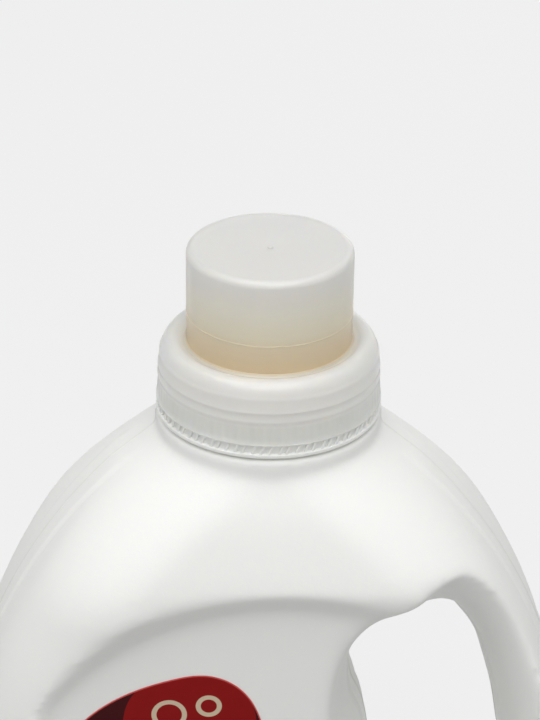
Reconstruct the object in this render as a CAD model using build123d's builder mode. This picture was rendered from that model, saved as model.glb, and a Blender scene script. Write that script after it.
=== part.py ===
"""Laundry detergent bottle: blown bottle with a through handle, pour spout, dosing cap, band and labels.

Millimetres, +Z up. The origin is the centre of the foot, the neck stands at X = 0, Y = 0, the handle is
at +X and the front label at -Y. The two mould halves meet in the plane Y = 0.
"""
from build123d import *
from math import sqrt
import os

os.makedirs("parts", exist_ok=True)

# Bottle body
shoulder_z = 216.0  # underside of the collar
belly_z = 60.0  # height of the widest section
belly_half = 110.5  # half width there
foot_draw = 4.0  # how much the half width narrows down to the foot
half_depth = 54.0  # from the parting plane to the front face
brow_drop = 44.0  # the front face leans back from this far below shoulder_z
brow_bend = 1.3  # 1 would be a straight slope
corner_r = 33.0  # vertical corners of the body
corner_flat = 0.4  # what stays flat of each side where the section turns round
foot_round = 8.0
wall = 1.5
foot_rim = 13.0  # width of the ring that the bottle stands on
push_up = 3.0  # height of the hollow under the foot

# Label panels, one in the front and one in the back
panel_depth = 7.0
panel_arch_more = 23.0  # the arch's radius is this much more than the panel's half width
panel_arch_x = 5.0  # the arch's highest point
panel_drop = 47.4  # from shoulder_z down to the panel's top
panel_side = 37.5  # from the body's widest point in to the panel
panel_low_z = 24.0
panel_corner = 14.0
panel_slope = 58.0  # degrees that the panel's border leans outwards
panel_past = 6.0  # the panel's cut runs out this far past the front

# Handle opening, in the parting plane
arm_width = 22.3  # the handle's arm, from the opening to the outside
grip_drop = 62.0  # from shoulder_z down to the opening's top
grip_low_z = 58.0
grip_left_x = 28.5
# Points round the opening, anticlockwise from the middle of its left edge: the shares of its width and
# height, then how much of the widening is to the right and upwards there. On the arm only the height is
# given, because the opening keeps arm_width inside the body's outline.
grip_left = [(0.05, 0.51, -0.14, 0.0), (0.13, 0.375, -0.14, 0.0), (0.19, 0.17, -0.14, -0.1)]
grip_low = [(0.31, 0.045, -0.1, -0.35), (0.59, 0.0, 0.0, -0.42), (0.86, 0.02, 0.3, -0.42)]
grip_arm = [(0.13, 0.42, -0.25), (0.31, 0.45, -0.03), (0.48, 0.46, 0.14), (0.66, 0.49, 0.38)]
grip_top = [(0.787, 0.853, 0.5, 0.485), (0.7, 0.918, 0.42, 0.615), (0.603, 0.979, 0.15, 0.595)]
grip_crown = [(0.505, 1.0, 0.04, 0.445), (0.349, 0.972, -0.015, 0.345), (0.156, 0.929, -0.065, 0.275)]
grip_side = [(0.028, 0.835, -0.11, 0.15), (0.007, 0.672, -0.15, 0.05)]
grip_flare = [  # share of half_depth from the parting plane, and how far the opening has widened there
    (0.0, 0.0),
    (0.185, 1.6),
    (0.37, 6.8),
    (0.5, 14.5),
    (0.61, 26.0),
    (0.76, 45.0),
    (1.11, 84.0),
]

# Collar and neck
collar_r = 38.2
collar_h = 6.0
collar_lip = 0.8  # the collar stands this far out of the shoulders' top
collar_sink = 1.0  # and reaches this far down into them
collar_edge = 0.6
neck_r = 24.3  # root of the neck's thread
neck_wall = 1.8
neck_top = 26.0  # above shoulder_z, as all heights from here on
thread_crest = 1.5  # the thread stands this far out of the neck

# Pour spout, a plug that snaps into the neck
spout_fit = 0.05
flange_h = 1.4
plug_wall = 1.2
tray_z = 12.0
lip_r = 10.5
lip_wall = 1.2
lip_top = 42.0
lip_slant = 24.0  # degrees
drain_r = 2.6

# Dosing cap
cap_fit = 0.7  # from the thread's crest to the cap's bore
cap_wall = 1.3
cap_top = 65.0
cap_edge = 3.6
crease_z = 31.9  # where the cup meets the skirt's shoulder
bore_low = 8.2
skirt_low = 9.9
skirt_out = 0.1  # the skirt's low edge stands this far out of the collar
skirt_step_z = 16.5
skirt_top_z = 27.0
skirt_narrow = 0.9  # from the low edge up to the skirt's shoulder
skirt_thick = 2.0
skirt_thin = 1.1
skirt_round = 4.0  # inside the skirt's shoulder
bulge_rise = 0.4  # the skirt's shoulder stands this high over the crease
bulge_in = 3.2  # and its top lies this far out of the cup
trough_in = 1.2
trough = 0.8
rib_count = 52
rib_size = 0.8
fill_line_z = 42.0
fill_line = 0.35
gate_r = 1.0
gate_h = 0.5

# Tamper band, left on the neck
band_gap = 0.2
band_h = 1.1
band_wall = 1.6
bridge_count = 80
bridge_w = 1.3
bridge_t = 1.0
bridge_lean = 28.0
bridge_clear = 0.3
bridge_sink = 0.25  # how far the bridges reach into the band

# Labels
label_t = 0.25
label_inset = 4.0
label_drop = 25.6  # from the panel's top to the label's highest point
label_gap = 16.0  # from the label's right edge to the handle opening
label_sweep = [  # the top edge: right of the label's left edge, and below its highest point
    (0.0, 26.0),
    (12.0, 13.0),
    (36.4, 1.5),
    (47.0, 0.0),
    (56.0, 3.0),
    (63.0, 10.5),
    (68.0, 24.0),
]
label_end = 42.0  # how far below the highest point the right edge starts

# What follows from the sizes above
top_half = collar_r - collar_lip
arch_r = ((shoulder_z - belly_z) ** 2 + (belly_half - top_half) ** 2) / (belly_half - top_half) / 2
brow_z = shoulder_z - brow_drop
panel_half = belly_half - panel_side
panel_arch_r = panel_half + panel_arch_more
panel_top_z = shoulder_z - panel_drop
grip_top_z = shoulder_z - grip_drop

bore_r = neck_r + thread_crest + cap_fit
cup_r = bore_r + cap_wall
skirt_low_r = collar_r + skirt_out
skirt_top_r = skirt_low_r - skirt_narrow


def half_width(z):
    """Half the body's width at a height, from the round shoulders down to the foot."""
    if z < belly_z:
        return belly_half - foot_draw * ((belly_z - z) / belly_z) ** 2
    return belly_half - arch_r + sqrt(arch_r**2 - (z - belly_z) ** 2)


def half_thickness(z):
    """Half the body's depth at a height; the front leans back from the brow to the collar."""
    share = max(z - brow_z, 0.0) / (shoulder_z - brow_z)
    return half_depth - (half_depth - top_half) * share**brow_bend


def corner(z):
    """Corner radius of the section at a height; it turns round towards the collar."""
    share = max(z - brow_z, 0.0) / (shoulder_z - brow_z)
    return corner_r + (min(half_width(z), half_thickness(z)) - corner_flat - corner_r) * share**2


def body_blank(skin):
    """The plain body without panels or handle, its sides moved in by the skin."""
    side = [belly_z + (brow_z - belly_z) * share for share in (0.0, 0.39, 0.68, 0.88, 1.0)]
    top = [brow_z + brow_drop * share for share in (0.23, 0.5, 0.77, 1.0)]
    with BuildPart() as blank:
        for z in [0.0, 0.42 * belly_z] + side + top:
            with BuildSketch(Plane.XY.offset(z)):
                RectangleRounded(2 * (half_width(z) - skin), 2 * (half_thickness(z) - skin), corner(z) - skin)
        loft()
        low = blank.faces().sort_by(Axis.Z)[0]
        fillet(low.edges(), foot_round - skin)
    return blank.part


def panel_cut(skin):
    """What a label panel takes off the front, grown by the skin towards the inside."""
    floor_y = half_depth - panel_depth - skin
    reach = panel_depth + skin + panel_past
    with BuildPart() as cut:
        with BuildSketch(Plane.XZ.offset(floor_y)):
            with BuildLine():
                half = panel_half + skin
                low = panel_low_z - skin
                arch_z = panel_top_z - panel_arch_r
                left_z = arch_z + sqrt(panel_arch_r**2 - (panel_half + panel_arch_x) ** 2)
                right_z = arch_z + sqrt(panel_arch_r**2 - (panel_half - panel_arch_x) ** 2)
                Polyline((-half, left_z), (-half, low), (half, low), (half, right_z))
                ThreePointArc((-half, left_z), (panel_arch_x, panel_top_z + skin), (half, right_z))
            make_face()
            fillet(vertices(), panel_corner)
        extrude(amount=reach, taper=-panel_slope)
    return cut.part


def grip_outline(widening, skin):
    """Points round the handle opening, anticlockwise from its left edge, after that much widening."""
    tall = grip_top_z - grip_low_z
    wide = half_width(grip_low_z + tall / 2) - arm_width - grip_left_x
    rows = []
    for across, up, out_x, out_z in grip_left + grip_low:
        rows.append((grip_left_x + across * wide, grip_low_z + up * tall, out_x, out_z))
    for up, out_x, out_z in grip_arm:
        z = grip_low_z + up * tall
        rows.append((half_width(z) - arm_width, z, out_x, out_z))
    for across, up, out_x, out_z in grip_top + grip_crown + grip_side:
        rows.append((grip_left_x + across * wide, grip_low_z + up * tall, out_x, out_z))
    points = []
    for x, z, out_x, out_z in rows:
        grow = widening + skin / sqrt(out_x**2 + out_z**2)
        points.append((x + grow * out_x, z + grow * out_z))
    return points


def grip_cut(skin):
    """The handle opening from front to back, grown by the skin."""
    back = [(-share, widening) for share, widening in reversed(grip_flare[1:])]
    with BuildPart() as cut:
        for share, widening in back + grip_flare:
            with BuildSketch(Plane.XZ.offset(share * half_depth)):
                with BuildLine():
                    Spline(grip_outline(widening, skin), periodic=True)
                make_face()
        loft()
    return cut.part


def body_form(skin):
    """The body's outside, or its inside when the skin is the wall."""
    blank = body_blank(skin)
    panel = panel_cut(skin)
    grip = grip_cut(skin)
    with BuildPart() as form:
        add(blank)
        add(panel, mode=Mode.SUBTRACT)
        add(panel.mirror(Plane.XZ), mode=Mode.SUBTRACT)
        add(grip, mode=Mode.SUBTRACT)
        floor = push_up + skin
        with BuildSketch():
            RectangleRounded(
                2 * (half_width(0) - foot_rim + skin),
                2 * (half_thickness(0) - foot_rim + skin),
                corner_r - foot_rim / 2,
            )
        extrude(amount=floor, mode=Mode.SUBTRACT)
        if skin:
            split(bisect_by=Plane.XY.offset(wall), keep=Keep.TOP)
    return form.part


def at(height):
    """Height above the foot of something measured from the collar's underside."""
    return shoulder_z + height


# Bottle: one blown shell with its collar, neck and hollow handle
outside = body_form(0.0)
inside = body_form(wall)
neck_bore_r = neck_r - neck_wall
with BuildPart() as bottle:
    add(outside)
    add(inside, mode=Mode.SUBTRACT)
    with BuildSketch(Plane.XY.offset(shoulder_z - collar_sink)):
        Circle(collar_r)
    extrude(amount=collar_sink + collar_h)
    fillet(bottle.edges().filter_by(GeomType.CIRCLE).group_by(Axis.Z)[-1], collar_edge)
    with BuildSketch(Plane.XY.offset(shoulder_z)):
        Circle(neck_r)
    extrude(amount=neck_top)
    with BuildSketch(Plane.XY.offset(shoulder_z - 2 * wall)):
        Circle(neck_bore_r)
    extrude(amount=neck_top + 2 * wall, mode=Mode.SUBTRACT)
bottle.part.label = "bottle"

# Pour spout: plug, flange on the neck's rim, sloping tray and a slanted lip
plug_r = neck_bore_r - spout_fit
with BuildPart() as pour_spout:
    with BuildSketch(Plane.XZ):
        with BuildLine():
            Polyline(
                (lip_r - lip_wall, at(tray_z)),
                (plug_r, at(tray_z)),
                (plug_r, at(neck_top)),
                (neck_r, at(neck_top)),
                (neck_r, at(neck_top + flange_h)),
                (plug_r - plug_wall, at(neck_top + flange_h)),
                (plug_r - plug_wall, at(tray_z + plug_wall)),
                (lip_r, at(tray_z + plug_wall)),
                (lip_r, at(lip_top)),
                (lip_r - lip_wall, at(lip_top)),
                close=True,
            )
        make_face()
    revolve(axis=Axis.Z)
    with BuildSketch(Plane.XY.offset(at(tray_z))):
        with Locations((0, (plug_r + lip_r) / 2)):
            Circle(drain_r)
    extrude(amount=plug_wall, mode=Mode.SUBTRACT)
    slant = Plane(origin=(0, -lip_r, at(lip_top))).rotated((-lip_slant, 0, 0))
    split(bisect_by=slant, keep=Keep.BOTTOM)
pour_spout.part.label = "pour_spout"

# Dosing cap: one moulding of a cup, a shoulder and a skirt that hides the neck
with BuildPart() as dosing_cap:
    step_r = skirt_low_r - skirt_narrow * (skirt_step_z - skirt_low) / (skirt_top_z - skirt_low)
    with BuildSketch(Plane.XZ):
        with BuildLine():
            Polyline(
                (cup_r, at(crease_z)),
                (cup_r, at(cap_top - cap_edge)),
            )
            RadiusArc((cup_r, at(cap_top - cap_edge)), (cup_r - cap_edge, at(cap_top)), -cap_edge)
            Polyline(
                (cup_r - cap_edge, at(cap_top)),
                (0, at(cap_top)),
                (0, at(cap_top - cap_wall)),
                (cup_r - cap_edge, at(cap_top - cap_wall)),
            )
            RadiusArc(
                (cup_r - cap_edge, at(cap_top - cap_wall)),
                (bore_r, at(cap_top - cap_edge)),
                cap_edge - cap_wall,
            )
            Polyline(
                (bore_r, at(cap_top - cap_edge)),
                (bore_r, at(bore_low)),
                (cup_r, at(bore_low)),
                (cup_r, at(crease_z - skirt_thick)),
                (skirt_top_r - skirt_thick - skirt_round, at(crease_z - skirt_thick)),
            )
            Bezier(
                (skirt_top_r - skirt_thick - skirt_round, at(crease_z - skirt_thick)),
                (skirt_top_r - skirt_thick, at(crease_z - skirt_thick)),
                (skirt_top_r - skirt_thick, at(skirt_top_z)),
            )
            Polyline(
                (skirt_top_r - skirt_thick, at(skirt_top_z)),
                (step_r - skirt_thick, at(skirt_step_z)),
                (step_r - skirt_thin, at(skirt_step_z)),
                (skirt_low_r - skirt_thin, at(skirt_low)),
                (skirt_low_r, at(skirt_low)),
                (skirt_top_r, at(skirt_top_z)),
            )
            Bezier(
                (skirt_top_r, at(skirt_top_z)),
                (skirt_top_r, at(crease_z + bulge_rise)),
                (cup_r + bulge_in, at(crease_z + bulge_rise)),
            )
            Bezier(
                (cup_r + bulge_in, at(crease_z + bulge_rise)),
                (cup_r + bulge_in / 2, at(crease_z + bulge_rise)),
                (cup_r + trough_in, at(crease_z - trough)),
                (cup_r, at(crease_z)),
            )
        make_face()
    revolve(axis=Axis.Z)
    with BuildSketch(Plane.XY.offset(at(fill_line_z))):
        Circle(cup_r + fill_line)
        Circle(bore_r + cap_wall / 2, mode=Mode.SUBTRACT)
    extrude(amount=2 * fill_line)
    with BuildSketch(Plane.XY.offset(at(skirt_low))):
        with PolarLocations(skirt_low_r - skirt_thin - rib_size / 4, rib_count):
            Rectangle(1.5 * rib_size, rib_size)
    extrude(amount=skirt_step_z - skirt_low)
    with BuildSketch(Plane.XY.offset(at(cap_top))):
        Circle(gate_r)
    extrude(amount=gate_h, taper=12)
dosing_cap.part.label = "dosing_cap"

# Tamper band: the ring under the skirt, with the stubs of its broken bridges
band_low = collar_h + band_gap
bridge_h = skirt_low - bridge_clear - band_low - band_h
with BuildPart() as tamper_band:
    with BuildSketch(Plane.XY.offset(at(band_low))):
        Circle(collar_r)
        Circle(collar_r - band_wall, mode=Mode.SUBTRACT)
    extrude(amount=band_h)
    with Locations(Plane.XY.offset(at(band_low + band_h + bridge_h / 2) - bridge_sink)):
        with PolarLocations(collar_r - bridge_t / 2 - 0.1, bridge_count):
            Box(bridge_t, bridge_w, bridge_h, rotation=(bridge_lean, 0, 0))
tamper_band.part.label = "tamper_band"


def label_film():
    """The front label: a film with a sweeping top edge, stuck on the panel's floor."""
    left = label_inset - panel_half
    right = grip_left_x - label_gap
    low = panel_low_z + 2 * label_inset
    high = panel_top_z - label_drop
    edge = [(left + across, high - down) for across, down in label_sweep]
    with BuildPart() as film:
        with BuildSketch(Plane.XZ.offset(half_depth - panel_depth)):
            with BuildLine():
                Spline(edge + [(right, high - label_end)])
                Polyline((right, high - label_end), (right, low), (left, low), edge[0])
            make_face()
            fillet(vertices().group_by(Axis.Y)[0], panel_corner / 2)
        extrude(amount=label_t)
    return film.part


front_film = label_film()
back_film = front_film.mirror(Plane.XZ)
with BuildPart() as front_label:
    add(front_film)
front_label.part.label = "front_label"
with BuildPart() as back_label:
    add(back_film)
back_label.part.label = "back_label"

export_step(bottle.part, "parts/bottle.step")
export_step(pour_spout.part, "parts/pour_spout.step")
export_step(dosing_cap.part, "parts/dosing_cap.step")
export_step(tamper_band.part, "parts/tamper_band.step")
export_step(front_label.part, "parts/front_label.step")
export_step(back_label.part, "parts/back_label.step")
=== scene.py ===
"""Looks of a laundry detergent bottle: white blown bottle, clear dosing cap, tamper band, spout, labels."""
import math
import bpy
import numpy as np
from mathutils import Matrix, Vector


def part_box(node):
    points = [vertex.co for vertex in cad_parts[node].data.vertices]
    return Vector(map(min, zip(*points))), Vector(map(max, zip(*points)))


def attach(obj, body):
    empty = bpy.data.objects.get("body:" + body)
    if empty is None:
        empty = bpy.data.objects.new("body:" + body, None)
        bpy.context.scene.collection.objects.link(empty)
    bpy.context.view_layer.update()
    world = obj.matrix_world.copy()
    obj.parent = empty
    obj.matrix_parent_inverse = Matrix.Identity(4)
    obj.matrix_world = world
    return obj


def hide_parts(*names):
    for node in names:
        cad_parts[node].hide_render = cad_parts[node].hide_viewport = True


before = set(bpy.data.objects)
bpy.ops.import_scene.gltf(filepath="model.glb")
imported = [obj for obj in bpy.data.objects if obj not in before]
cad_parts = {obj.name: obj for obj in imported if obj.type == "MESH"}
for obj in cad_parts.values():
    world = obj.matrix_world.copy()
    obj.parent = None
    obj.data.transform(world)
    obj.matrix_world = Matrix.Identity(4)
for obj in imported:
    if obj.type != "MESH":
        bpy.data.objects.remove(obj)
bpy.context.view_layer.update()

MM = 0.001

# Heights that the pieces share
CAP_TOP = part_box("dosing_cap")[1].z
COLLAR_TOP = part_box("tamper_band")[0].z - 0.2 * MM  # the band runs this far above the collar
COLLAR_BASE = COLLAR_TOP - 6 * MM
CREASE = COLLAR_BASE + 31.9 * MM  # where the cup meets the cap's shoulder
RIBS_TOP = COLLAR_BASE + 17.0 * MM  # upper end of the skirt's ribbed part
LABEL_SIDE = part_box("front_label")[1].x
LABEL_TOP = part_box("front_label")[1].z

# The same plastic in the cap and the band: how much it refracts, and a faint painted glow, an emission that
# stands in for the light that it scatters inside
CAP_IOR = 1.49
PAINTED_GLOW = 0.03

# The label's red rounded shape: centre across and up, then half width and height
LABEL_ROUND = (-27 * MM, 119 * MM, 23 * MM, 24 * MM)
ROUND_POWER = 2.6  # 2 is an ellipse; more is squarer
# Its bubbles: centre across and up, then radius
BUBBLES = ((-34 * MM, 127 * MM, 5.2 * MM), (-20.5 * MM, 130.5 * MM, 3.6 * MM), (-23 * MM, 119 * MM, 4.4 * MM))
LABEL_RIM = 0.4 * MM  # width of the printed edge line

# The blown body
SKIN_VOXEL = 1.5 * MM
LID_DROP = 0.3 * MM  # the body is closed this far under the collar's top
SOFT_PASSES = 16  # smoothing of the whole body
SOFT_END = (5 * MM, 1 * MM)  # below the collar's base, where that fades out
BROW_PASSES = 70  # smoothing over the handle opening and along the flare's edges
BROW_CORE = 0.55  # share of the brow's reach that gets all of it
RIM_SHARE = 0.6  # how much of that the flare's edges get
# Where the flare's edges begin and are whole: towards the handle, away from the middle plane, up from the
# foot; and where they fade out at the top
RIM_ACROSS = (14 * MM, 26 * MM)
RIM_DEEP = (24 * MM, 32 * MM)
RIM_FOOT = (24 * MM, 34 * MM)
RIM_TOP = (150 * MM, 165 * MM)
FACES_FRONT = 0.995  # a face that looks forwards or back by more than this is the flat panel
PANEL_MARGIN = 2 * MM  # how far the panel reaches past the label
SEAM_HEIGHT = 0.35 * MM  # the parting line
SEAM_HALF = 0.45 * MM
STRIP_HALF = 9 * MM  # the raised strip round the sides
STRIP_RISE = 0.8 * MM
STRIP_SLOPE = 2.6 * MM
STRIP_STEP = 0.8 * MM  # spacing of the cuts along the strip's edges
STRIP_END = (16 * MM, 4 * MM)  # below the collar's base, where the strip fades out
FACES_SIDE = (0.35, 0.7)  # how much a face looks sideways or up where the strip begins and is whole
BROW = (50 * MM, 160 * MM, 26 * MM)  # over the handle opening: across, up, reach

# Radii in millimetres
CUP = 27.8
CAP_BORE = 26.5
NECK = 24.3
NECK_BORE = 22.5
CAP_THREAD_CREST = 24.95
NECK_THREAD_CREST = 25.8

# Details of the cap, heights in millimetres above the collar's base
RIBS = 84
RIB_DEPTH = 0.10 * MM
FILL_LINE = 42.25
FILL_LINE_HALF = 0.5
LINE_WAVE = 0.12 * MM  # how far the fill line wanders up and down
LINE_NUBS = 0.10 * MM

# The screw thread, in millimetres, and the band's bridges
THREAD_LEAD = 15.0
THREAD_STARTS = 3
ROOT_HALF = 1.1
CREST_HALF = 0.5
BRIDGES = 80
BRIDGE_SIZE = (0.95, 0.95, 3.3)
BRIDGE_LEAN = 0.42  # sideways for each part of height

SAME_POINT = 0.002 * MM  # points nearer than this are merged


# ---------------------------------------------------------------- shader maths


class Value:
    """A socket that can be used in sums; each operation adds a Math node."""

    def __init__(self, tree, socket):
        self.tree = tree
        self.socket = socket

    def math(self, operation, *others):
        node = self.tree.nodes.new("ShaderNodeMath")
        node.operation = operation
        for slot, value in zip(node.inputs, (self, *others)):
            plug(self.tree, value, slot)
        return Value(self.tree, node.outputs[0])

    def __add__(self, other):
        return self.math("ADD", other)

    def __radd__(self, other):
        return self.math("ADD", other)

    def __sub__(self, other):
        return self.math("SUBTRACT", other)

    def __rsub__(self, other):
        return Value.math(constant(self.tree, other), "SUBTRACT", self)

    def __mul__(self, other):
        return self.math("MULTIPLY", other)

    def __rmul__(self, other):
        return self.math("MULTIPLY", other)

    def __truediv__(self, other):
        return self.math("DIVIDE", other)


def constant(tree, number):
    node = tree.nodes.new("ShaderNodeValue")
    node.outputs[0].default_value = number
    return Value(tree, node.outputs[0])


def plug(tree, value, slot):
    """Links a value to a socket, or sets the socket to a plain number or colour."""
    if isinstance(value, Value):
        tree.links.new(value.socket, slot)
    else:
        slot.default_value = value


class Finish:
    """A material being built from nodes."""

    def __init__(self, name):
        self.material = bpy.data.materials.new(name)
        self.material.use_nodes = True
        self.tree = self.material.node_tree
        self.shader = self.tree.nodes["Principled BSDF"]
        place = self.node("ShaderNodeTexCoord")
        self.place = Value(self.tree, place.outputs["Object"])
        split = self.node("ShaderNodeSeparateXYZ", sockets={"Vector": self.place})
        self.x, self.y, self.z = (Value(self.tree, out) for out in split.outputs)

    def node(self, kind, settings=None, sockets=None, stops=None):
        """Adds any node: settings first, then a ramp's stops, then socket values or links."""
        node = self.tree.nodes.new(kind)
        for key, value in (settings or {}).items():
            setattr(node, key, value)
        if stops:
            ramp = node.color_ramp.elements
            while len(ramp) < len(stops):
                ramp.new(1.0)
            for step, (position, colour) in zip(ramp, stops):
                step.position = position
                step.color = (*colour, 1.0)
        for key, value in (sockets or {}).items():
            plug(self.tree, value, node.inputs[key])
        return node

    def out(self, node, key=0):
        return Value(self.tree, node.outputs[key])

    def ramp(self, value, stops):
        return self.out(self.node("ShaderNodeValToRGB", sockets={"Fac": value}, stops=stops))

    def noise(self, scale, detail=3.0, stretch=(1, 1, 1)):
        mapped = self.node("ShaderNodeMapping", sockets={"Vector": self.place, "Scale": stretch})
        texture = self.node(
            "ShaderNodeTexNoise", sockets={"Vector": self.out(mapped), "Scale": scale, "Detail": detail}
        )
        return self.out(texture, "Fac")

    def span(self, value, low, high, start=0.0, end=1.0):
        node = self.node(
            "ShaderNodeMapRange",
            {"interpolation_type": "SMOOTHSTEP"},
            {"Value": value, "From Min": low, "From Max": high, "To Min": start, "To Max": end},
        )
        return self.out(node)

    def mix(self, factor, first, second):
        node = self.node("ShaderNodeMix", {"data_type": "RGBA"})
        plug(self.tree, factor, node.inputs["Factor"])
        plug(self.tree, first, node.inputs[6])
        plug(self.tree, second, node.inputs[7])
        return Value(self.tree, node.outputs[2])

    def bump(self, height, strength, distance):
        sockets = {"Strength": strength, "Distance": distance, "Height": height}
        node = self.node("ShaderNodeBump", sockets=sockets)
        plug(self.tree, self.out(node), self.shader.inputs["Normal"])

    def set(self, **values):
        """Sets or links sockets of the main shader, named with underscores for spaces."""
        for key, value in values.items():
            plug(self.tree, value, self.shader.inputs[key.replace("_", " ")])
        return self.material


def rgb(red, green, blue):
    return (red, green, blue, 1.0)


# ---------------------------------------------------------------- finishes


def bottle_finish():
    """White blown polyethylene: satin, with the faint grain of the mould and soft flow marks."""
    skin = Finish("white_blown_polyethylene")
    cloud = skin.noise(9.0, 2.0, (1, 1, 0.35))
    grain = skin.noise(1400.0, 2.0)
    waves = skin.noise(55.0, 2.0, (1, 1, 0.4))
    colour = skin.mix(cloud, rgb(0.83, 0.835, 0.81), rgb(0.87, 0.873, 0.852))
    skin.bump(grain * 0.35 + waves, 0.35, 0.25 * MM)
    line = skin.span(skin.y.math("ABSOLUTE"), 0.25 * MM, 0.6 * MM, 1.0, 0.0)
    colour = skin.mix(line * 0.5, colour, rgb(0.72, 0.73, 0.70))
    skin.set(Roughness=0.48 + 0.10 * cloud, Base_Color=colour, Specular_IOR_Level=0.35)
    return skin.set(Subsurface_Weight=0.12, Subsurface_Radius=(0.006, 0.005, 0.004), IOR=1.52)


def clear_cap_finish():
    """Natural polypropylene: cloudy and see-through, with painted shade warm low on the cup, in the
    shoulder's crease and on the ribbed part of the skirt, whiter on the plain skirt, and a faint painted
    glow.
    """
    clear = Finish("natural_polypropylene")
    reach = (clear.x * clear.x + clear.y * clear.y).math("SQRT")
    cloud = clear.noise(45.0, 3.0, (1, 1, 0.5))
    painted_streaks = clear.noise(110.0, 2.0, (1, 1, 0.12))
    rise = clear.span(clear.z + 1.2 * MM * (cloud - 0.5), CREASE, CAP_TOP)
    # Painted shade by height: warm brown low on the cup, where little light gets in, paling upwards to a
    # greyer top
    cup = clear.ramp(
        rise,
        [
            (0.0, (0.88, 0.73, 0.50)),
            (0.14, (0.90, 0.79, 0.59)),
            (0.34, (0.92, 0.87, 0.72)),
            (0.70, (0.93, 0.91, 0.82)),
            (1.0, (0.88, 0.88, 0.865)),
        ],
    )
    # Painted shade: the skirt's ribbed part darker than its plain part, with broad painted light and dark
    # streaks for the flutes' shading
    low = clear.span(clear.z, RIBS_TOP, RIBS_TOP + 1.4 * MM, 1.0, 0.0)
    plain = clear.mix(cloud, rgb(0.94, 0.95, 0.92), rgb(0.97, 0.975, 0.95))
    ribbed_band_shade = clear.mix(painted_streaks, rgb(0.84, 0.855, 0.82), rgb(0.95, 0.96, 0.935))
    skirt = clear.mix(low, plain, ribbed_band_shade)
    # Painted shade: warm beige on the shoulder next to the cup wall, where the crease lies in shade
    crease_shade = clear.mix(clear.span(reach, 28.0 * MM, 31.5 * MM), rgb(0.92, 0.88, 0.78), skirt)
    on_cup = clear.span(reach, 27.9 * MM, 28.3 * MM, 1.0, 0.0)
    clear.bump(clear.noise(900.0, 2.0) * 0.3 + cloud, 0.25, 0.15 * MM)
    body = clear.mix(on_cup, crease_shade, cup)
    # Painted glow: a faint emission in the cap's painted colours, standing in for light scattered inside the
    # plastic
    clear.set(Roughness=0.36 + 0.10 * cloud, Base_Color=body, Emission_Color=body)
    clear.set(Transmission_Weight=0.5, Coat_Weight=0.3, Coat_Roughness=0.16, Emission_Strength=PAINTED_GLOW)
    return clear.set(IOR=CAP_IOR, Subsurface_Weight=0.6, Subsurface_Radius=(0.010, 0.009, 0.007))


def band_finish():
    """The same plastic in the thin ring: nearly white, with a faint painted glow that stands in for the light
    gathering in its edges.
    """
    ring = Finish("natural_polypropylene_ring")
    cloud = ring.noise(160.0)
    colour = ring.mix(cloud, rgb(0.86, 0.87, 0.84), rgb(0.93, 0.935, 0.915))
    ring.bump(ring.noise(1100.0, 2.0), 0.2, 0.1 * MM)
    ring.set(Base_Color=colour, Roughness=0.32 + 0.1 * cloud, Transmission_Weight=0.2, IOR=CAP_IOR)
    # Painted glow: a faint emission in the ring's colours, standing in for light scattered inside the plastic
    ring.set(Emission_Color=colour, Emission_Strength=PAINTED_GLOW)
    return ring.set(Subsurface_Weight=0.4, Subsurface_Radius=(0.005, 0.0045, 0.004))


def spout_finish():
    """Plain plastic in a warm beige-brown whose tone varies at random."""
    part = Finish("pale_spout_plastic")
    cloud = part.noise(30.0)
    colour = part.mix(cloud, rgb(0.72, 0.62, 0.46), rgb(0.78, 0.69, 0.52))
    part.bump(part.noise(800.0, 2.0), 0.2, 0.1 * MM)
    return part.set(Base_Color=colour, Roughness=0.38 + 0.08 * cloud)


def label_finish():
    """Printed film: a dark field, a red rounded shape on it and three pale bubbles in that."""
    film = Finish("printed_film")
    middle, centre_height, half_width, half_height = LABEL_ROUND
    side = (film.x - middle) / half_width
    rise = (film.z - centre_height) / half_height
    squared = side.math("ABSOLUTE").math("POWER", ROUND_POWER)
    squared = squared + rise.math("ABSOLUTE").math("POWER", ROUND_POWER)
    red = film.span(squared, 0.985, 1.005, 1.0, 0.0)
    grain = film.noise(220.0, 2.0)
    shade = film.span(film.z, LABEL_TOP - 70 * MM, LABEL_TOP)
    field = film.mix(shade, rgb(0.030, 0.001, 0.003), rgb(0.050, 0.002, 0.004))
    blob = film.mix(grain, rgb(0.235, 0.0015, 0.0015), rgb(0.265, 0.002, 0.002))
    colour = film.mix(red, field, blob)
    for across, up, radius in BUBBLES:
        far = ((film.x - across) * (film.x - across) + (film.z - up) * (film.z - up)).math("SQRT")
        ring = film.span((far - radius).math("ABSOLUTE"), 0.75 * MM, 0.95 * MM, 1.0, 0.0)
        colour = film.mix(ring, colour, rgb(0.62, 0.50, 0.36))
    film.bump(grain, 0.15, 0.05 * MM)
    return film.set(Base_Color=colour, Roughness=0.42 + 0.05 * grain, Specular_IOR_Level=0.08)


def rim_finish():
    """The printed edge line of the label."""
    line = Finish("printed_edge_line")
    grain = line.noise(220.0, 2.0)
    colour = line.mix(grain, rgb(0.50, 0.03, 0.03), rgb(0.62, 0.06, 0.05))
    return line.set(Base_Color=colour, Roughness=0.32)


# ---------------------------------------------------------------- pieces


def deselect():
    bpy.ops.object.select_all(action="DESELECT")


def make_active(piece):
    deselect()
    piece.select_set(True)
    bpy.context.view_layer.objects.active = piece


def apply_all(piece):
    """Applies the piece's modifiers in order."""
    make_active(piece)
    for modifier in list(piece.modifiers):
        bpy.ops.object.modifier_apply(modifier=modifier.name)


def edit(piece):
    """Opens a piece in edit mode with all its points selected."""
    make_active(piece)
    bpy.ops.object.mode_set(mode="EDIT")
    bpy.ops.mesh.select_mode(type="VERT")
    bpy.ops.mesh.select_all(action="SELECT")


def leave_edit():
    bpy.ops.object.mode_set(mode="OBJECT")


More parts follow.
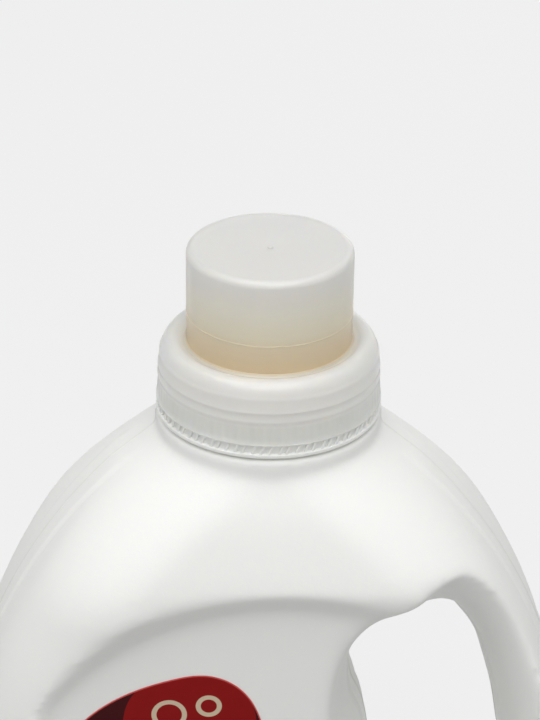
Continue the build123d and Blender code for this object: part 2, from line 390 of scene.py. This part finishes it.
def points_of(piece):
    places = np.zeros(len(piece.data.vertices) * 3)
    piece.data.vertices.foreach_get("co", places)
    return places.reshape(-1, 3)


def normals_of(piece):
    normals = np.zeros(len(piece.data.vertices) * 3)
    piece.data.vertices.foreach_get("normal", normals)
    return normals.reshape(-1, 3)


def move_points(piece, places):
    piece.data.vertices.foreach_set("co", places.ravel())
    piece.data.update()


def smooth_step(value, low, high):
    share = np.clip((value - low) / (high - low), 0, 1)
    return share * share * (3 - 2 * share)


def about_axis(places, turn):
    """Points turned about the neck's axis, by radians."""
    cos, sin = math.cos(turn), math.sin(turn)
    turned_places = places.copy()
    turned_places[:, :2] = places[:, :2] @ np.array(((cos, sin), (-sin, cos)))
    return turned_places


def smoothed(piece, name, passes, group):
    """Adds a smoothing modifier that works on one vertex group."""
    smooth = piece.modifiers.new(name, "SMOOTH")
    smooth.factor = 0.5
    smooth.iterations = passes
    smooth.vertex_group = group


def weigh(piece, name, shares):
    """A vertex group with each point's share; points with none are left out."""
    group = piece.vertex_groups.new(name=name)
    for index in np.flatnonzero(shares > 0):
        group.add([int(index)], float(shares[index]), "REPLACE")


def copy_of_node(node):
    """A free copy of a CAD node with its points merged, left in edit mode."""
    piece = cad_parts[node].copy()
    piece.data = piece.data.copy()
    piece.parent = None
    for key in list(piece.keys()):
        del piece[key]
    bpy.context.scene.collection.objects.link(piece)
    edit(piece)
    bpy.ops.mesh.remove_doubles(threshold=SAME_POINT)
    return piece


def outer_skin(node, cut_height):
    """A copy of a hollow CAD node below a height, without its inside, closed by a lid there."""
    copy_of_node(node)
    bpy.ops.mesh.select_all(action="SELECT")
    bpy.ops.mesh.bisect(plane_co=(0, 0, cut_height), plane_no=(0, 0, 1), clear_outer=True)
    bpy.ops.mesh.separate(type="LOOSE")
    leave_edit()
    shells = sorted(bpy.context.selected_objects, key=lambda shell: shell.dimensions.x)
    skin = shells.pop()
    for shell in shells:
        bpy.data.objects.remove(shell)
    edit(skin)
    bpy.ops.mesh.select_all(action="DESELECT")
    bpy.ops.mesh.select_non_manifold()
    bpy.ops.mesh.edge_face_add()
    leave_edit()
    return skin


def bottle_body():
    """The blown body: softened edges, a raised strip round the sides and the parting line."""
    body = outer_skin("bottle", COLLAR_TOP - LID_DROP)
    body.name = "bottle_body"
    remesh = body.modifiers.new("skin", "REMESH")
    remesh.mode = "VOXEL"
    remesh.voxel_size = SKIN_VOXEL
    apply_all(body)
    places = points_of(body)
    across, deep, up = places[:, 0], np.abs(places[:, 1]), places[:, 2]
    weigh(body, "soft", 1 - smooth_step(up, COLLAR_BASE - SOFT_END[0], COLLAR_BASE - SOFT_END[1]))
    brow_across, brow_up, brow_reach = BROW
    far = np.hypot(across - brow_across, up - brow_up)
    near = 1 - smooth_step(far, BROW_CORE * brow_reach, brow_reach)
    rim = smooth_step(across, *RIM_ACROSS) * smooth_step(deep, *RIM_DEEP)
    rim *= smooth_step(up, *RIM_FOOT) * (1 - smooth_step(up, *RIM_TOP))
    flat = (np.abs(normals_of(body)[:, 1]) > FACES_FRONT) * (across < LABEL_SIDE + PANEL_MARGIN)
    weigh(body, "brow", np.maximum(near, RIM_SHARE * rim) * (1 - flat))
    smoothed(body, "soften", SOFT_PASSES, "soft")
    smoothed(body, "soften_brow", BROW_PASSES, "brow")
    apply_all(body)
    edit(body)
    edges = [side * (STRIP_HALF + step) for side in (-1, 1) for step in (-STRIP_STEP, 0.0, STRIP_STEP)]
    for offset in (-2 * SEAM_HALF, -SEAM_HALF, 0.0, SEAM_HALF, 2 * SEAM_HALF, *edges):
        bpy.ops.mesh.select_all(action="SELECT")
        bpy.ops.mesh.bisect(plane_co=(0, offset, 0), plane_no=(0, 1, 0))
    leave_edit()
    places = points_of(body)
    outward = normals_of(body)
    away = np.abs(places[:, 1])
    side = smooth_step(np.abs(outward[:, 0]) + np.clip(outward[:, 2], 0, 1), *FACES_SIDE)
    fade = 1 - smooth_step(places[:, 2], COLLAR_BASE - STRIP_END[0], COLLAR_BASE - STRIP_END[1])
    strip = STRIP_RISE * side * fade * (1 - smooth_step(away, STRIP_HALF, STRIP_HALF + STRIP_SLOPE))
    seam = SEAM_HEIGHT * (away < 0.1 * SEAM_HALF) * (places[:, 2] < COLLAR_TOP - 1 * MM)
    move_points(body, places + outward * (strip + seam)[:, None])
    for polygon in body.data.polygons:
        polygon.use_smooth = True
    return body


def turned(name, rings, steps=192, pole=True):
    """A turned piece: a circle extruded and resized through rings of (radius, height), in millimetres.

    With a pole the first and last rings close on the axis; without, the last ring meets the first.
    """
    deselect()
    radius, height = rings[0]
    fill = "TRIFAN" if pole else "NOTHING"
    place = (0, 0, COLLAR_BASE + height * MM)
    bpy.ops.mesh.primitive_circle_add(vertices=steps, radius=radius * MM, fill_type=fill, location=place)
    piece = bpy.context.object
    piece.name = name
    bpy.ops.object.transform_apply(location=True, rotation=True, scale=True)
    edit(piece)
    if pole:
        bpy.ops.mesh.select_all(action="DESELECT")
        bpy.ops.mesh.select_non_manifold()
    for new_radius, new_height in rings[1:]:
        move = {"value": (0, 0, (new_height - height) * MM)}
        bpy.ops.mesh.extrude_region_move(TRANSFORM_OT_translate=move)
        share = new_radius / radius
        centre = (0, 0, COLLAR_BASE + new_height * MM)
        bpy.ops.transform.resize(value=(share, share, 1), center_override=centre)
        radius, height = new_radius, new_height
    if pole:
        bpy.ops.mesh.merge(type="CENTER")
    bpy.ops.mesh.select_all(action="SELECT")
    bpy.ops.mesh.remove_doubles(threshold=SAME_POINT)
    bpy.ops.mesh.normals_make_consistent(inside=False)
    leave_edit()
    smooth_faces(piece)
    return piece


def smooth_faces(piece, degrees=35):
    make_active(piece)
    bpy.ops.object.shade_smooth_by_angle(angle=math.radians(degrees))


def rounding(centre_r, centre_z, radius, start, end, count=6):
    """Rings along an arc of a profile; the angles are degrees from outwards, positive upwards."""
    angles = [math.radians(start + (end - start) * i / count) for i in range(count + 1)]
    return [(centre_r + radius * math.cos(a), centre_z + radius * math.sin(a)) for a in angles]


def thread(name, root, crest, low, turns, start_angle):
    """One start of a screw thread: a small trapezium swept up a helix, fading at both ends.

    The radii and the lowest height are in millimetres.
    """
    deselect()
    bpy.ops.mesh.primitive_plane_add(size=MM)
    ridge = bpy.context.object
    ridge.name = name
    corners = [(root, -ROOT_HALF), (root, ROOT_HALF), (crest, -CREST_HALF), (crest, CREST_HALF)]
    flat = np.array([(radius * MM, 0, COLLAR_BASE + (low + rise) * MM) for radius, rise in corners])
    move_points(ridge, flat)
    edit(ridge)
    bpy.ops.mesh.delete(type="ONLY_FACE")
    leave_edit()
    screw = ridge.modifiers.new("helix", "SCREW")
    screw.axis = "Z"
    screw.angle = math.tau * turns
    screw.screw_offset = THREAD_LEAD * turns * MM
    screw.steps = screw.render_steps = int(72 * turns)
    apply_all(ridge)
    places = points_of(ridge)
    angle = np.unwrap(np.arctan2(places[:, 1], places[:, 0]).reshape(-1, 4), axis=0).ravel()
    share = (angle - angle.min()) / (angle.max() - angle.min())
    fade = smooth_step(share, 0, 0.12) * (1 - smooth_step(share, 0.88, 1))
    reach = np.hypot(places[:, 0], places[:, 1])
    faded = root * MM + (reach - root * MM) * (0.15 + 0.85 * fade)
    places[:, :2] *= (faded / reach)[:, None]
    move_points(ridge, about_axis(places, start_angle))
    edit(ridge)
    bpy.ops.mesh.fill_holes(sides=4)
    bpy.ops.mesh.select_all(action="SELECT")
    bpy.ops.mesh.normals_make_consistent(inside=False)
    leave_edit()
    return ridge


def threads(name, root, crest, low, turns, first_angle):
    """All starts of a thread, evenly round the axis."""
    angles = [first_angle + math.tau * start / THREAD_STARTS for start in range(THREAD_STARTS)]
    return [thread("%s_%d" % (name, i), root, crest, low, turns, angle) for i, angle in enumerate(angles)]


def joined(piece, others):
    deselect()
    for other in others:
        other.select_set(True)
    piece.select_set(True)
    bpy.context.view_layer.objects.active = piece
    bpy.ops.object.join()
    return piece


def cap_piece():
    """The dosing cap: a cup over a wide skirt, with a bore tube inside that carries the thread."""
    cup, bore = CUP, CAP_BORE
    # The gate mark in the middle of the top, then the top's dished face and its round edge
    outside = [(0.35, 65.1), (0.8, 65.0), (1.0, 64.5), (1.3, 64.55), (2.4, 64.6), (5.0, 64.8), (20.0, 64.95)]
    outside += [(24.2, 65.0), (25.0, 65.1)] + rounding(cup - 2.4, 62.85, 2.4, 84, 0, 8)
    # The fill line's bead, and the crease where the cup goes into the shoulder
    outside += [(cup, 42.55), (cup + 0.12, 42.4), (cup + 0.12, 42.1), (cup, 41.95)]
    outside += [(cup, 32.7), (cup + 0.06, 32.4), (cup + 0.30, 32.2), (cup + 0.38, 31.9), (cup + 0.8, 31.5)]
    # The shoulder's bulge, the skirt's plain part and its two steps
    outside += [(cup + 1.5, 31.55), (cup + 2.5, 32.2), (cup + 3.6, 32.7), (cup + 4.9, 32.75)]
    outside += [(cup + 6.1, 32.3), (34.9, 31.5), (35.7, 30.4), (36.2, 29.3), (36.45, 28.6)]
    outside += [(36.6, 28.2), (36.85, 27.8), (36.98, 27.2)]
    outside += [(37.0, 26.7), (37.25, 23.4), (37.42, 23.1), (37.45, 22.7), (37.32, 22.4), (37.36, 20.4)]
    outside += [(37.55, 20.0), (37.6, 19.5), (37.5, 18.9), (37.35, 18.5), (37.38, 18.0)]
    # The ribbed part and the lower edge
    outside += [(37.5, 16.0), (37.65, 13.4), (37.8, 11.7), (38.05, 11.4), (38.05, 10.9), (37.9, 10.8)]
    # Up inside the skirt, down the outside of the bore tube, and up its inside to the cup's floor
    inside = [(37.1, 10.8), (36.7, 11.1), (36.2, 17.5), (35.4, 18.2), (35.1, 26.4), (34.2, 28.9)]
    inside += [(32.4, 30.2), (28.9, 29.9), (28.2, 29.5), (cup, 28.4), (cup, 8.6), (cup - 0.3, 8.2)]
    inside += [(bore + 0.3, 8.2), (bore, 8.6)]
    inside += [(bore, 61.5)] + rounding(bore - 2.2, 61.5, 2.2, 12, 90, 5) + [(12.0, 63.7), (1.0, 63.7)]
    cap = turned("dosing_cap_shell", outside + inside, steps=384)
    places = points_of(cap)
    reach = np.hypot(places[:, 0], places[:, 1])
    angle = np.arctan2(places[:, 1], places[:, 0])
    height = (places[:, 2] - COLLAR_BASE) / MM
    low = smooth_step(height, 11.5, 12.6) * (1 - smooth_step(height, 17.4, 18.2)) * (reach > 37.2 * MM)
    flutes = RIB_DEPTH * low * (np.cos(angle * RIBS) + 0.5 * np.cos(angle * 31 + 1.0))
    wobble = np.sin(angle * 5 + 1.0) + 0.6 * np.sin(angle * 13 + 2.0) + 0.4 * np.sin(angle * 29)
    bead = (np.abs(height - FILL_LINE) < FILL_LINE_HALF) * (reach > cup * MM + 0.03 * MM)
    front = np.clip(-places[:, 1] / np.maximum(reach, MM), 0, 1) ** 2
    nubs = LINE_NUBS * bead * front * np.maximum(0, np.sin(angle * 70) * np.sin(angle * 17 + 0.5))
    places[:, 2] += bead * LINE_WAVE * wobble * front
    places[:, :2] *= (1 + (flutes + nubs) / np.maximum(reach, MM))[:, None]
    move_points(cap, places)
    return joined(cap, threads("cap_thread", bore + 0.05, CAP_THREAD_CREST, 12.5, 0.8, math.tau / 6))


def band_piece():
    """The tamper band: a thin ring with an upstand behind, and leaning bridges up to the cap's edge."""
    rings = [(37.9, 6.5), (38.15, 6.75), (38.2, 7.3), (38.1, 7.75), (37.8, 7.95), (37.1, 8.1), (36.95, 10.45)]
    rings += [(36.5, 10.5), (36.4, 6.6), (36.6, 6.4), (37.9, 6.5)]
    ring = turned("tamper_ring", rings, steps=240, pole=False)
    deselect()
    bpy.ops.mesh.primitive_cube_add(size=MM)
    bridge = bpy.context.object
    bridge.name = "bridge"
    bpy.ops.transform.resize(value=BRIDGE_SIZE)
    bpy.ops.object.transform_apply(location=True, rotation=True, scale=True)
    bevel = bridge.modifiers.new("round", "BEVEL")
    bevel.width = 0.22 * MM
    bevel.segments = 2
    apply_all(bridge)
    shape = points_of(bridge)
    shape[:, 1] += BRIDGE_LEAN * shape[:, 2]
    shape += np.array((37.35 * MM, 0, COLLAR_BASE + 9.3 * MM))
    copies = []
    for count in range(BRIDGES):
        copy = bridge.copy()
        copy.data = bridge.data.copy()
        bpy.context.scene.collection.objects.link(copy)
        turn = math.tau * (count + 0.12 * math.sin(count * 2.4)) / BRIDGES
        move_points(copy, about_axis(shape, turn))
        copies.append(copy)
    bpy.data.objects.remove(bridge)
    return joined(ring, copies)


def neck_piece():
    """The neck: an open tube with a rolled rim and a three-start thread outside."""
    root, bore = NECK, NECK_BORE
    rings = [(root, 5.5), (root, 25.4)] + rounding(root - 0.6, 25.4, 0.6, 15, 90, 4)
    rings += rounding(bore + 0.5, 25.5, 0.5, 90, 180, 4) + [(bore, 5.5), (root, 5.5)]
    neck = turned("neck", rings, steps=128, pole=False)
    return joined(neck, threads("neck_thread", root - 0.05, NECK_THREAD_CREST, 10.0, 0.75, 0.0))


def label_piece(node, material, rim):
    """A printed film from the CAD outline, its printed edge line inset as its own faces."""
    piece = copy_of_node(node)
    piece.name = node + "_film"
    bpy.ops.mesh.select_mode(type="FACE")
    bpy.ops.mesh.select_all(action="DESELECT")
    leave_edit()
    sign = -1 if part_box(node)[0].y < 0 else 1
    for polygon in piece.data.polygons:
        polygon.select = polygon.normal.y * sign > 0.9
    bpy.ops.object.mode_set(mode="EDIT")
    bpy.ops.mesh.dissolve_faces()
    bpy.ops.mesh.inset(thickness=LABEL_RIM)
    bpy.ops.mesh.select_all(action="INVERT")
    leave_edit()
    piece.data.materials.clear()
    piece.data.materials.append(material)
    piece.data.materials.append(rim)
    for polygon in piece.data.polygons:
        polygon.material_index = int(polygon.select)
        polygon.use_smooth = False
    return piece


# ---------------------------------------------------------------- stage


FLOOR_SIZE = 60  # metres, so that its far edge lies out of sight
FLOOR_GLOW = 0.782
SKY = 0.45
# name, place, point that it faces, width in metres, power in watts
LAMPS = (
    ("top_light", (-0.04, -0.45, 1.4), (0, 0, 0.2), 1.4, 17.2),
    ("front_light", (-0.9, -1.3, 0.9), (0, 0, 0.15), 1.0, 0.8),
    ("back_light", (0.5, 1.9, 0.35), (0, 0, 0.12), 1.2, 3.5),
)
VIEW_ANGLES = (1.75, 28.18, 0.70)  # degrees to the right, down, and of tilt
VIEW_PLACE = (-0.0214, -0.7118, 0.6203)


def studio():
    """A pale floor that glows softly, a large light overhead, weak ones front and back, and a dim sky."""
    deselect()
    bpy.ops.mesh.primitive_plane_add(size=FLOOR_SIZE)
    floor = bpy.context.object
    floor.name = "floor"
    paper = Finish("pale_floor")
    paper.set(Base_Color=rgb(0.07, 0.07, 0.07), Roughness=0.9)
    paper.set(Emission_Color=rgb(FLOOR_GLOW, FLOOR_GLOW, FLOOR_GLOW), Emission_Strength=1.0)
    floor.data.materials.append(paper.material)
    floor.visible_diffuse = False
    world = bpy.data.worlds.new("soft_studio")
    world.use_nodes = True
    sky = world.node_tree.nodes["Background"]
    sky.inputs["Color"].default_value = rgb(1, 1, 1)
    sky.inputs["Strength"].default_value = SKY
    bpy.context.scene.world = world
    for name, place, aim, size, power in LAMPS:
        lamp = bpy.data.lights.new(name, "AREA")
        lamp.size = size
        lamp.energy = power
        light = bpy.data.objects.new(name, lamp)
        light.location = place
        light.rotation_euler = (Vector(aim) - Vector(place)).to_track_quat("-Z", "Y").to_euler()
        bpy.context.scene.collection.objects.link(light)
    bpy.context.scene.view_settings.view_transform = "Standard"


def camera():
    """A long lens looking down on the cap from the front."""
    yaw, pitch, roll = (math.radians(angle) for angle in VIEW_ANGLES)
    ahead = Vector((math.sin(yaw) * math.cos(pitch), math.cos(yaw) * math.cos(pitch), -math.sin(pitch)))
    right = ahead.cross(Vector((0, 0, 1))).normalized()
    up = right.cross(ahead)
    across = math.cos(roll) * right + math.sin(roll) * up
    upward = math.cos(roll) * up - math.sin(roll) * right
    lens = bpy.data.cameras.new("camera")
    lens.lens = 120
    lens.sensor_width = 36
    view = bpy.data.objects.new("camera", lens)
    turn = Matrix((across, upward, -ahead)).transposed().to_4x4()
    view.matrix_world = Matrix.Translation(VIEW_PLACE) @ turn
    bpy.context.scene.collection.objects.link(view)
    bpy.context.scene.camera = view


def dress(node, material):
    """Gives a CAD node that stays as it is its material."""
    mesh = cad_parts[node].data
    mesh.materials.clear()
    mesh.materials.append(material)


def place(piece, material, body, node, slot):
    """Gives a finished piece its material, its body and the CAD node that it stands for; slot is not used."""
    if material:
        piece.data.materials.clear()
        piece.data.materials.append(material)
    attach(piece, body)
    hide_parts(node)


studio()
camera()
white = bottle_finish()
clear = clear_cap_finish()
place(bottle_body(), white, "vessel", "bottle", "bottle_white")
place(neck_piece(), white, "vessel", "bottle", "bottle_white")
place(cap_piece(), clear, "cap", "dosing_cap", "cap_clear")
printed, edge_line = label_finish(), rim_finish()
for node in ("front_label", "back_label"):
    place(label_piece(node, printed, edge_line), None, "vessel", node, "label_film")
place(band_piece(), band_finish(), "ring", "tamper_band", "cap_clear")
dress("pour_spout", spout_finish())
